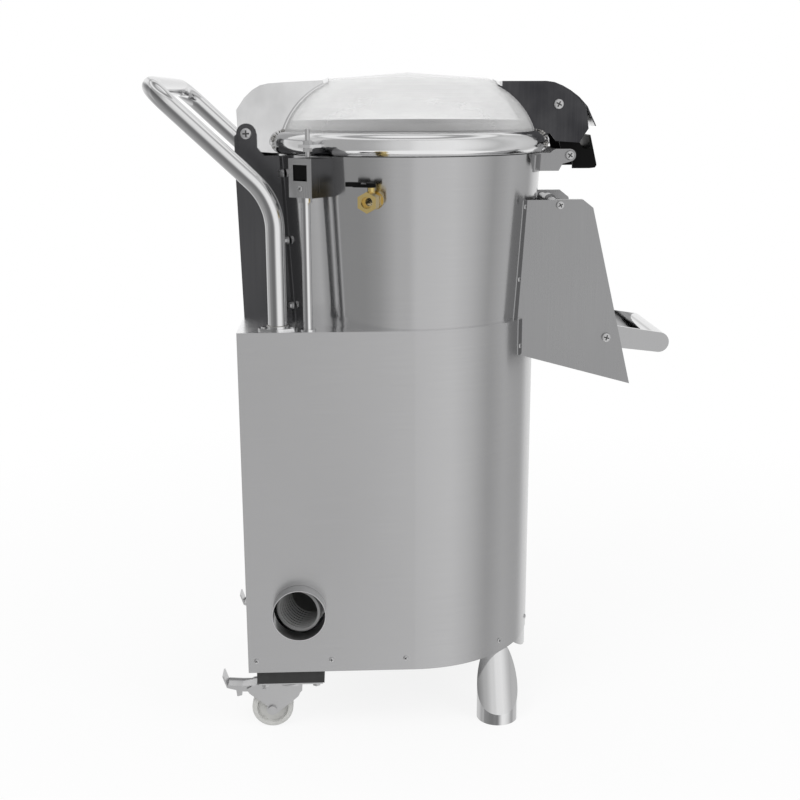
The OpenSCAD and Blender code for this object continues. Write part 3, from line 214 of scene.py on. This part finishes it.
# A round card overhead, bright in the middle and at its rim, that draws streaks along tubes.
ceiling_levels = ((0.0, 1.0), (0.25, 1.0), (0.38, 0.40), (0.52, 0.36),
                  (0.66, 0.95), (0.82, 0.95), (0.9, 0.5), (1.0, 0.5))
bm = bmesh.new()
bmesh.ops.create_circle(bm, cap_ends=True, segments=card_segments, radius=card_radius)
bmesh.ops.translate(bm, verts=bm.verts, vec=(0, 0, card_height))
ceiling = mesh_piece("studio_ceiling", bm)
ceiling_material = bpy.data.materials.new("studio_ceiling")
ceiling_material.use_nodes = True
s = Shader(ceiling_material.node_tree)
flat = s.add("ShaderNodeCombineXYZ", None, dict(enumerate(s.axes(s.place())[:2])))
out = s.add("ShaderNodeVectorMath", {"operation": "LENGTH"}, {0: flat}, output="Value") * (1 / card_radius)
glow = s.add("ShaderNodeEmission", None, {"Color": s.shade(out, ceiling_levels), "Strength": 1.0})
s.add("ShaderNodeOutputMaterial", None, {"Surface": glow})
ceiling.data.materials.append(ceiling_material)
for card in (cards, ceiling):
    for kind in ("camera", "diffuse", "shadow", "transmission", "volume_scatter"):
        setattr(card, f"visible_{kind}", False)
floor.visible_glossy = False

world = bpy.data.worlds.new("studio")
bpy.context.scene.world = world
world.use_nodes = True
s = Shader(world.node_tree)
soft = s.add("ShaderNodeBackground", None, {"Color": (1.0, 1.0, 1.0, 1.0), "Strength": 0.75})
white = s.add("ShaderNodeBackground", None, {"Color": (1.0, 1.0, 1.0, 1.0), "Strength": 1.0})
mixed = s.add("ShaderNodeMixShader", None, {0: s.glossy_or_camera(), 1: soft, 2: white})
s.add("ShaderNodeOutputWorld", None, {"Surface": mixed})


def softbox(name, place, aim, size, watts):
    """A soft rectangular lamp that no shiny part mirrors."""
    lamp = bpy.data.lights.new(name, "AREA")
    lamp.shape = "RECTANGLE"
    lamp.size, lamp.size_y = size
    lamp.energy = watts
    box = linked(name, lamp)
    box.visible_glossy = False
    box.location = place
    box.rotation_mode = "QUATERNION"
    box.rotation_quaternion = (Vector(aim) - Vector(place)).to_track_quat("-Z", "Y")


softbox("key_lamp", (-1.5, 1.3, 2.9), (0.0, 0.1, 0.9), (1.3, 1.3), 26)
softbox("fill_lamp", (-1.6, -1.9, 2.2), (0.0, -0.1, 0.7), (1.0, 1.6), 16)


# ---------------------------------------------------------------- Casing and base pan
# One sheet of stainless steel bent to a D and welded to its deck, ground level all round, with a folded pan
# screwed in below it. The grind runs round the casing, so its reflections are drawn out upright.
def finished(name, varying, **fixed):
    """A material whose Principled shader gets fixed values and, from varying(shader), what changes."""
    material = bpy.data.materials.new(name)
    material.use_nodes = True
    s = Shader(material.node_tree)
    values = {key.replace("_", " "): value for key, value in fixed.items()}
    values.update(varying(s))
    s.add("ShaderNodeOutputMaterial", None, {"Surface": s.add("ShaderNodeBsdfPrincipled", None, values)})
    return material


def steel(name, tone, roughness, grain, drawn_out=0.0, mottle=0.05, scratches=0.05, painted_side_tone=None,
          patches=(4.0, 4.0, 2.5), painted_reflection=None):
    """Ground steel. grain is how many scratches there are to the metre along X, Y and Z. A side tone, when
    given, is painted on the faces that look left or right: painted shade or light, not a finish. A
    reflection, when given, is a direction and how much lighter or darker a face is painted, from turned away
    from that
    direction to turned towards it: painted reflection bands and highlights."""

    def varying(s):
        cloud = s.noise(patches, detail=3.0)
        scratch = s.noise(grain, detail=3.0, roughness=0.7)
        smudge = s.noise((11.0, 11.0, 7.0), detail=4.0, roughness=0.6)
        level = (cloud - 0.5) * mottle + (scratch - 0.5) * scratches + tone
        # Painted shade or light: the faces that look left or right are painted toward the side tone.
        if painted_side_tone is not None:
            x = s.axes(s.faces())[0]
            level += s.shade(x.math("ABSOLUTE"), ((0.62, 0.0), (0.75, 1.0))) * (painted_side_tone - tone)
        # Painted reflection: each face is painted lighter or darker by how far it turns toward one direction.
        if painted_reflection is not None:
            x, y, z = s.axes(s.faces())
            toward, shares = painted_reflection
            level = level * s.shade((x * toward[0] + y * toward[1] + z * toward[2]) * 0.5 + 0.5, shares)
        dull = (smudge - 0.5) * 0.08 + (scratch - 0.5) * 0.06 + roughness
        bumps = s.add("ShaderNodeBump", None, {"Strength": 0.3, "Distance": 0.00001, "Height": scratch})
        colour = s.add("ShaderNodeCombineColor", None, {0: level, 1: level, 2: level + 0.004})
        return {"Base Color": colour, "Roughness": dull, "Normal": bumps}

    return finished(name, varying, Metallic=1.0, Anisotropic=drawn_out, Anisotropic_Rotation=0.25)


def paint(material, *names):
    """Gives the machine's solids of these names one finish."""
    for name in names:
        data = nodes[name].data
        data.materials.clear()
        data.materials.append(material)


level_grain = (9.0, 9.0, 900.0)
upright_grain = (700.0, 700.0, 6.0)
cast_grain = (300.0, 300.0, 300.0)
# The faces that look up, the deck's, are painted up to nearly twice as light: a painted highlight.
deck_painted_highlight = ((0.0, 0.0, 1.0), ((0.0, 1.0), (0.9, 1.0), (1.0, 1.9)))
ground_sheet = steel("ground_sheet", 0.50, 0.24, level_grain, drawn_out=0.75, painted_reflection=deck_painted_highlight)
paint(ground_sheet, "casing", "base_pan")


# ---------------------------------------------------------------- Drum, liner and basin
# The drum is a rolled and seam-welded sheet, polished to a soft mirror, and its rim is a little wider than
# its foot. Inside it sits a liner coated with grit, over a pressed basin that gathers water and peel.
paint(steel("polished_sheet", 0.50, 0.15, level_grain, drawn_out=0.7, mottle=0.03), "drum", "basin")


def plain(name, colour, roughness, metallic=0.0, wear=0.08, pitted=0.00003, **fixed):
    """A moulded, painted or cast surface, a little uneven in tone and gloss."""

    def varying(s):
        cloud = s.noise((60.0, 60.0, 60.0), detail=4.0)
        pits = s.noise((900.0, 900.0, 900.0), detail=1.0)
        ends = {0: cloud * wear, 6: (*colour, 1.0), 7: (0.5, 0.5, 0.5, 1.0)}
        tint = s.add("ShaderNodeMix", {"data_type": "RGBA"}, ends, output=2)
        bumps = s.add("ShaderNodeBump", None, {"Strength": 0.2, "Distance": pitted, "Height": pits})
        return {"Base Color": tint, "Roughness": (cloud - 0.5) * 0.12 + roughness, "Normal": bumps}

    return finished(name, varying, Metallic=metallic, **fixed)


paint(plain("bonded_grit", (0.10, 0.10, 0.10), 0.9, wear=0.4, pitted=0.0008), "drum_liner", "peeling_disc")


# ---------------------------------------------------------------- Push handle and legs
# Polished stainless tube. The handle is bent twice and stands on two collared feet that are screwed to the
# deck, with a bead of weld round each tube on its collar; the legs are cut slanting and closed at the floor.
# Painted reflection bands: the tubes' faces are painted lighter and darker by how far they turn toward one
# slanting direction.
painted_tube_bands = ((0.0, 0.6), (0.18, 1.15), (0.38, 1.2), (0.46, 0.75), (0.54, 1.2),
              (0.70, 1.25), (0.78, 0.35), (0.85, 0.5), (0.94, 0.9), (1.0, 0.6))
tube_painted_reflection = ((-0.5, 0.7, -0.5), painted_tube_bands)
tube_steel = steel("polished_tube", 0.66, 0.10, upright_grain, mottle=0.03, painted_reflection=tube_painted_reflection)
paint(tube_steel, "push_handle", "leg_left", "leg_right", "leg_covers", "lock_lever", "conduit_post",
      "handle_feet")
weld_steel = plain("weld_metal", (0.46, 0.45, 0.43), 0.34, metallic=1.0, wear=0.3, pitted=0.0002)
bead_ripple = 0.16


def weld_bead(name, middle, radius, thickness, body, ripples=30, wire=8):
    """A rippled bead of weld all round an upright tube."""
    bm = bmesh.new()
    ring = bmesh.ops.create_circle(bm, segments=wire, radius=thickness)["verts"]
    bmesh.ops.rotate(bm, verts=ring, matrix=Matrix.Rotation(math.radians(90), 3, "X"))
    bmesh.ops.translate(bm, verts=ring, vec=(radius, 0, 0))
    bmesh.ops.spin(bm, geom=bm.verts[:] + bm.edges[:], cent=(0, 0, 0), axis=(0, 0, 1), angle=math.tau,
                   steps=2 * ripples, use_merge=True)
    for v in bm.verts:
        turn = math.atan2(v.co.y, v.co.x)
        swell = 1.0 + bead_ripple * math.cos(turn * ripples)
        out = Vector((v.co.x, v.co.y, 0)).normalized() * radius
        v.co = out + (v.co - out) * swell
    bmesh.ops.translate(bm, verts=bm.verts, vec=middle)
    bmesh.ops.recalc_face_normals(bm, faces=bm.faces)
    bead = mesh_piece(name, bm, smooth_below=60.0)
    bead.data.materials.append(weld_steel)
    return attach(bead, body)


foot_half, foot_bead_r, foot_bead_half = 0.021, 0.0170, 0.0012
low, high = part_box("handle_feet")
for side, x in (("left", low.x + foot_half), ("right", high.x - foot_half)):
    collar_top = Vector((x, (low.y + high.y) / 2, high.z))
    weld_bead(f"handle_weld_{side}", collar_top, foot_bead_r, foot_bead_half, "frame")


# ---------------------------------------------------------------- Tower, chute and switch box
# Folded plates in mill finish, ground upright: the tower carries the lid's hinge, the chute hangs on two
# flanges, and the switch box holds the lid's microswitch behind a small window.
paint(steel("folded_plate", 0.33, 0.28, upright_grain), "chute", "chute_door", "catch_bracket")
# The tower's faces that look left or right are painted nearly black: painted shade.
paint(steel("plate_painted_shade", 0.30, 0.24, upright_grain, painted_side_tone=0.09), "tower")
# The switch box's plate is painted nearly black, and its faces that look left or right lighter: painted
# light.
paint(steel("switch_plate", 0.08, 0.26, upright_grain, painted_side_tone=0.42), "switch_box")


# ---------------------------------------------------------------- Lid
# A clear moulded dome sits on a polished ring of steel tube. Two folded hoods are welded across the ring,
# at the hinge behind and at the latch in front, each with a saddle strip that follows dome and ring.
paint(steel("bright_tube", 0.80, 0.13, upright_grain, mottle=0.03), "lid_ring")
# The rear hood's strong cloud of tone stands in for the uneven light and mottled reflections on it: painted
# light and reflection patches.
hood_painted_light_patches = steel("hood_painted_light_patches", 0.86, 0.20, upright_grain, mottle=0.55, patches=(14.0, 14.0, 11.0))
# The front hood's cheeks, its faces that look left or right, are painted nearly black: painted shade.
hood_painted_shade_cheeks = steel("hood_painted_shade_cheeks", 0.80, 0.17, upright_grain, painted_side_tone=0.06, mottle=0.09, patches=(16.0, 16.0, 16.0))
paint(hood_painted_light_patches, "rear_hood")
paint(hood_painted_shade_cheeks, "front_hood")
# The ring under the dome's foot is painted nearly black for the dark band of shade seen there through the
# clear wall: painted shade.
paint(plain("dome_foot_shade", (0.03, 0.03, 0.03), 0.5), "dome_seat_ring")


def clear(s):
    """Clear plastic that shows most where it is seen along its surface, with a little haze."""
    edge = s.add("ShaderNodeLayerWeight", None, {"Blend": 0.35}, output="Facing")
    haze = s.noise((14.0, 14.0, 40.0), detail=3.0)
    return {"Alpha": edge * 0.60 + haze * 0.12 + 0.09, "Roughness": haze * 0.05 + 0.04}


paint(finished("clear_dome", clear, Base_Color=(0.90, 0.90, 0.90, 1.0), IOR=1.58), "dome")

ring_low, ring_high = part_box("lid_ring")
ring_r, ring_tube_r, ring_z = 0.2335, 0.019, (ring_low.z + ring_high.z) / 2
rear_hood_half, front_hood_half, weld_beside = 0.070, 0.0725, 0.009
lump_count, lump_r, lump_unevenness, lump_proud = 10, 0.0024, 0.0010, 0.0012
first_lump, lump_step, lump_sway = -25, 13, 5


def weld_spots(name, corners, body):
    """Lumps of weld round the outside of the lid's tube where a hood's saddle strip ends. Each of the
    corners is its X from the drum's axis and 1 behind or -1 in front."""
    bm = bmesh.new()
    reach = ring_tube_r + lump_proud
    for count, (x, way) in enumerate(corners):
        out = Vector((x, way * math.sqrt(ring_r ** 2 - x ** 2), 0)).normalized()
        for step in range(lump_count):
            sway = lump_sway * math.sin(7.3 * step + 2.3 * count)
            turn = math.radians(first_lump + lump_step * step + sway)
            size = lump_r + lump_unevenness * math.sin(5.1 * step + 1.7 * count)
            spot = bmesh.ops.create_icosphere(bm, subdivisions=2, radius=size)["verts"]
            bmesh.ops.scale(bm, verts=spot, vec=(1.25, 1.0, 0.8))
            seat = out * (ring_r + reach * math.cos(turn)) + Vector((0, 0, ring_z + reach * math.sin(turn)))
            aside = Vector((lump_proud * math.sin(3.7 * step + count), 0, 0))
            bmesh.ops.translate(bm, verts=spot, vec=drum_axis + seat + aside)
    spots = mesh_piece(name, bm, smooth_below=80.0)
    spots.data.materials.append(weld_steel)
    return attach(spots, body)


hood_sides = ((rear_hood_half, 1), (front_hood_half, -1))
hood_corners = [(side * (half + weld_beside), way) for side in (-1, 1) for half, way in hood_sides]
weld_spots("hood_welds", hood_corners, "lid")


# ---------------------------------------------------------------- Latch, switch, lever and gland
# The latch's handle, the lid's switch, the valve's lever and the cable's gland are moulded in black nylon
# with a fine spark-eroded skin.
black_plastic = plain("black_plastic", (0.003, 0.003, 0.003), 0.36, wear=0.006, Specular_IOR_Level=0.06)
paint(black_plastic, "latch_handle", "microswitch", "valve_lever", "cable_gland")


# ---------------------------------------------------------------- Castors
# Pressed and zinc-plated forks and pedals, turned nylon wheels with a hub bolt, and a black rubber pad
# between each castor's plate and the base pan.
zinc = steel("zinc_plate", 0.56, 0.32, cast_grain, mottle=0.14)
paint(zinc, "castor_fork_left", "castor_fork_right", "castor_plates", "castor_bolts", "brake_pedal_left",
      "brake_pedal_right")
paint(plain("white_nylon", (0.60, 0.60, 0.58), 0.42), "castor_wheel_left", "castor_wheel_right")
black_rubber = plain("black_rubber", (0.012, 0.012, 0.012), 0.6, wear=0.05)
paint(black_rubber, "castor_pads", "shaft_seal", "drive_belt")


# ---------------------------------------------------------------- Inlet valve
# A small ball valve turned from brass bar, its flange against the drum's wall. Its outer end takes the
# water hose.
paint(plain("turned_brass", (0.68, 0.52, 0.20), 0.22, metallic=1.0, wear=0.12), "inlet_valve")


# ---------------------------------------------------------------- Drain
# A short steel stub through the casing, and a ribbed plastic hose that brings the waste down to it from the
# basin, held by a worm-drive clamp at each end.
paint(steel("drain_tube", 0.62, 0.3, level_grain), "drain_stub")
paint(plain("hose_plastic", (0.22, 0.22, 0.22), 0.35), "drain_hose")


# ---------------------------------------------------------------- Drive
# The motor hangs under a steel plate on four posts and turns the disc's shaft by a V-belt. Housing and
# pulleys are grey iron castings, machined where the belt and the bearings run.
iron = plain("grey_iron", (0.16, 0.16, 0.16), 0.5, metallic=0.8, wear=0.2, pitted=0.0003)
paint(iron, "bearing_housing", "motor_pulley", "driven_pulley")
paint(plain("machine_paint", (0.12, 0.17, 0.22), 0.45), "motor")
paint(steel("bright_bar", 0.55, 0.22, (40.0, 40.0, 900.0)), "disc_shaft", "bearings")
paint(zinc, "drive_plate", "plate_posts", "hose_clamps")


# ---------------------------------------------------------------- Pins, bolts and screws
# Turned pins and hexagon bolts are zinc plated. The panel screws are pan heads with a cross recess: the same
# head is set over each of the plain ones.
paint(zinc, "tower_bolts", "lid_hinge_pin", "latch_pin", "catch_pin", "actuator_bolt", "chute_pins")


def solids(node):
    """The corners of each separate solid of a node, from the lowest X upwards."""
    bm = bmesh.new()
    bm.from_mesh(nodes[node].data)
    bmesh.ops.remove_doubles(bm, verts=bm.verts, dist=1e-6)
    left, found = set(bm.verts), []
    for start in bm.verts:
        if start not in left:
            continue
        left.remove(start)
        todo, corners = [start], []
        while todo:
            v = todo.pop()
            corners.append(tuple(v.co))
            near = [edge.other_vert(v) for edge in v.link_edges]
            todo += [other for other in near if other in left]
            left.difference_update(near)
        found.append(np.array(corners))
    bm.free()
    return sorted(found, key=lambda corners: tuple(np.round(corners.mean(axis=0), 4)))


cross_length, cross_width = 1.15, 0.27


def cross_head(radius, rise, shank_r=0.0, shank=0.0):
    """A pan head with a cross recess half its rise deep, seated on Z = 0, as a mesh. The faces of the
    recess take the second material. The cross is given as shares of the head's radius."""
    bm = bmesh.new()
    edge = 0.25 * rise
    arc = np.radians(np.linspace(0, 90, 8))
    dome = [(radius * math.cos(t), edge + (rise - edge) * math.sin(t)) for t in arc]
    below = [(0.0, -shank), (shank_r, -shank), (shank_r, 0.0)] if shank else [(0.0, 0.0)]
    profile = [bm.verts.new((r, 0, z)) for r, z in below + [(radius, 0.0)] + dome]
    lines = [bm.edges.new(pair) for pair in zip(profile, profile[1:])]
    bmesh.ops.spin(bm, geom=profile + lines, cent=(0, 0, 0), axis=(0, 0, 1), angle=math.tau,
                   steps=24, use_merge=True)
    bmesh.ops.remove_doubles(bm, verts=bm.verts, dist=1e-6)
    bmesh.ops.recalc_face_normals(bm, faces=bm.faces)
    head = mesh_piece("plain_head", bm)
    bm = bmesh.new()
    for wide, deep in ((cross_length, cross_width), (cross_width, cross_length)):
        arm = bmesh.ops.create_cube(bm, size=1.0)["verts"]
        bmesh.ops.scale(bm, verts=arm, vec=(wide * radius, deep * radius, 2 * rise))
        bmesh.ops.translate(bm, verts=arm, vec=(0, 0, 1.5 * rise))
    driver = mesh_piece("driver", bm)
    cut = head.modifiers.new("recess", "BOOLEAN")
    cut.operation, cut.solver, cut.use_self, cut.object = "DIFFERENCE", "EXACT", True, driver
    cut_head = bpy.data.meshes.new_from_object(head.evaluated_get(bpy.context.evaluated_depsgraph_get()))
    for spent in (head, driver):
        bpy.data.objects.remove(spent)
    for face in cut_head.polygons:
        near, far = sorted((abs(face.center.x), abs(face.center.y)))
        in_cross = near < 0.504 * cross_width * radius and far < 0.504 * cross_length * radius
        face.material_index = int(in_cross and face.center.z > 0.3 * rise)
    return cut_head


recess_shade = plain("recess_shade", (0.03, 0.03, 0.03), 0.6)


twist_rate = 17.0


def heads(name, places, body):
    """One piece of all the heads at these places, each a head's mesh, its seat and its way out. Every head
    stops at its own angle, so its cross is twisted by where it sits."""
    bm = bmesh.new()
    for head, seat, out in places:
        before = set(bm.verts)
        bm.from_mesh(head)
        fresh = [v for v in bm.verts if v not in before]
        turned = Vector(out).to_track_quat("Z", "Y").to_matrix().to_4x4()
        twist = Matrix.Rotation(twist_rate * sum(seat), 4, "Z")
        bmesh.ops.transform(bm, verts=fresh, matrix=Matrix.Translation(seat) @ turned @ twist)
    piece = mesh_piece(name, bm)
    for finish in (zinc, recess_shade):
        piece.data.materials.append(finish)
    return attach(piece, body)


screw_head_r, screw_rise, screw_shank_r, screw_shank = 0.0045, 0.00225, 0.0019, 0.006
panel_head = cross_head(screw_head_r, screw_rise, screw_shank_r, screw_shank)
places = []
# A screw's own axis is the one whose spread differs most from the other two, and it points to the head.
for corners in solids("panel_screws"):
    middle = (corners.min(axis=0) + corners.max(axis=0)) / 2
    spread, ways = np.linalg.eigh(np.cov((corners - corners.mean(axis=0)).T))
    out = ways[:, 2] if spread[2] - spread[1] > spread[1] - spread[0] else ways[:, 0]
    along = (corners - middle) @ out
    off = np.linalg.norm((corners - middle) - np.outer(along, out), axis=1)
    if along[off > 0.8 * screw_head_r].mean() < 0:
        out, along = -out, -along
    places.append((panel_head, Vector(middle + out * (along.max() - screw_rise)), Vector(out)))
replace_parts(heads("panel_screw_heads", places, "frame"), "panel_screws")

# The switch box stands on the drum's wall at this bearing from straight right, and one screw closes it low
# on its outer face.
box_bearing, screw_level = math.radians(140), 0.24
corners = np.vstack(solids("switch_box"))
out = np.array((math.cos(box_bearing), math.sin(box_bearing), 0.0))
across = np.array((-out[1], out[0], 0.0))
reach, level = (corners @ out).max(), corners[:, 2].min() + screw_level * np.ptp(corners[:, 2])
middle = ((corners @ across).min() + (corners @ across).max()) / 2
seat = out * reach + across * middle + np.array((0.0, 0.0, level))
heads("switch_box_screw", [(panel_head, Vector(seat), Vector(out))], "frame")

# Each pin that runs sideways is closed by a low head on every end that lies well out from the middle.
head_share, outer_end = 0.32, 0.05
for name, node, body in (
    ("hinge_pin_heads", "lid_hinge_pin", "frame"),
    ("latch_pin_heads", "latch_pin", "lid"),
    ("catch_pin_heads", "catch_pin", "frame"),
    ("chute_pin_heads", "chute_pins", "frame"),
):
    places = []
    for corners in solids(node):
        low, high = corners.min(axis=0), corners.max(axis=0)
        radius, middle = (high[1] - low[1]) / 2, (low + high) / 2
        cap = cross_head(radius, head_share * radius)
        for x, way in ((low[0], -1), (high[0], 1)):
            if (x - drum_axis.x) * way > outer_end:
                places.append((cap, Vector((x, middle[1], middle[2])), Vector((way, 0, 0))))
    heads(name, places, body)


# ---------------------------------------------------------------- Push buttons
# A green start and a red stop button, moulded through in their colours, in turned steel bezels on the
# right-hand wall.
paint(plain("green_button", (0.03, 0.35, 0.08), 0.35), "start_button")
paint(plain("red_button", (0.5, 0.02, 0.02), 0.35), "stop_button")
paint(steel("bezel_steel", 0.5, 0.25, cast_grain), "button_bezels")
